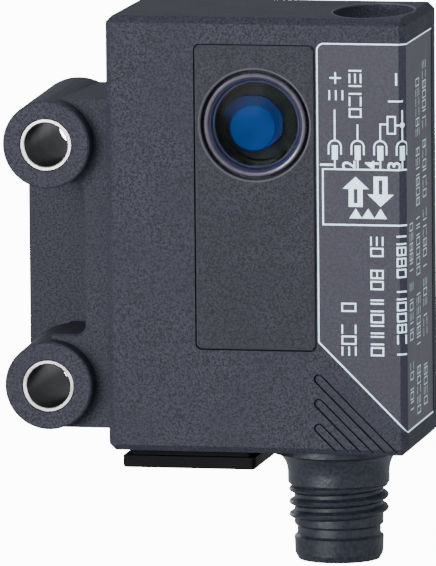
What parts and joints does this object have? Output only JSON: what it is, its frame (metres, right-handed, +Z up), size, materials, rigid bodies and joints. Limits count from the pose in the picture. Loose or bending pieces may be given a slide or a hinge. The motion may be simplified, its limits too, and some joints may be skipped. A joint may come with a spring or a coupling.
{
  "type": "photoelectric sensor",
  "caption": "Small rectangular photoelectric sensor with a round front lens, a side mounting ear, a top teach button and a round threaded connector.",
  "frame": {"origin": "middle of the two mounting holes, on the back face", "axes": "+Z up along the housing, away from the connector; -Y out of the lens; +X away from the mounting ear"},
  "size_m": [0.0324, 0.013, 0.0432],
  "materials": {
    "housing_plastic": "fine grained matt moulding",
    "connector_plastic": "smooth matt moulding",
    "rail_plastic": "dark, slightly glossy",
    "black_rubber": "soft",
    "sleeve_steel": "turned and polished",
    "label_foil": "printed foil, light border and marks",
    "panel_plastic": "smooth, slightly satin",
    "bezel_plastic": "satin ring",
    "lens_glass": "clear, coated",
    "black_plastic": "dark",
    "blue_glass": "blue coated",
    "splitter_mirror": "half silvered",
    "chip_plastic": "moulded package",
    "shield_steel": "tinned sheet",
    "led_plastic": "clear package",
    "board_laminate": "solder resist",
    "capacitor_ceramic": "ceramic",
    "button_plastic": "smoky soft plastic",
    "smoky_plastic": "smoky translucent",
    "brass_parts": "gold plated or bare brass",
    "wire_insulation": "insulated wire"
  },
  "bodies": {
    "sensor": {"aperture_stop": "black_plastic", "beam_splitter": "splitter_mirror", "blue_filter": "blue_glass", "chip_capacitors": "capacitor_ceramic", "chip_resistors": "chip_plastic", "connector_lock_ring": "brass_parts", "connector_seal_ring": "black_rubber", "connector_shell": "connector_plastic", "connector_wires": "wire_insulation", "contact_carrier": "black_plastic", "contact_pins": "brass_parts", "controller_chip": "chip_plastic", "driver_chip": "chip_plastic", "emitter_led": "led_plastic", "emitter_sleeve": "black_plastic", "foot_rail": "rail_plastic", "front_lens": "lens_glass", "front_panel": "panel_plastic", "housing": "housing_plastic", "indicator_leds": "led_plastic", "lens_bezel_ring": "bezel_plastic", "lens_seal": "black_rubber", "lens_tube": "black_plastic", "light_ring": "smoky_plastic", "main_circuit_board": "board_laminate", "mounting_sleeves": "sleeve_steel", "optics_holder": "black_plastic", "panel_seal": "black_rubber", "polariser_foil": "lens_glass", "rear_cover": "housing_plastic", "rear_cover_seal": "black_rubber", "receiver_photodiode": "chip_plastic", "receiver_shield": "shield_steel", "storage_capacitor": "capacitor_ceramic", "switch_board": "board_laminate", "switch_dome": "shield_steel", "tact_switch_body": "black_plastic", "type_label": "label_foil"},
    "button": {"teach_button": "button_plastic", "button_seal": "black_rubber", "switch_plunger": "black_plastic"}
  },
  "joints": [
    {"name": "button_press", "type": "slide", "parent": "sensor", "child": "button", "axis": [0, 0, -1], "range_m": [0, 0.00035], "stiffness_N_per_m": 500, "springref_m": -0.0004, "deforming": ["switch_dome"]}
  ]
}
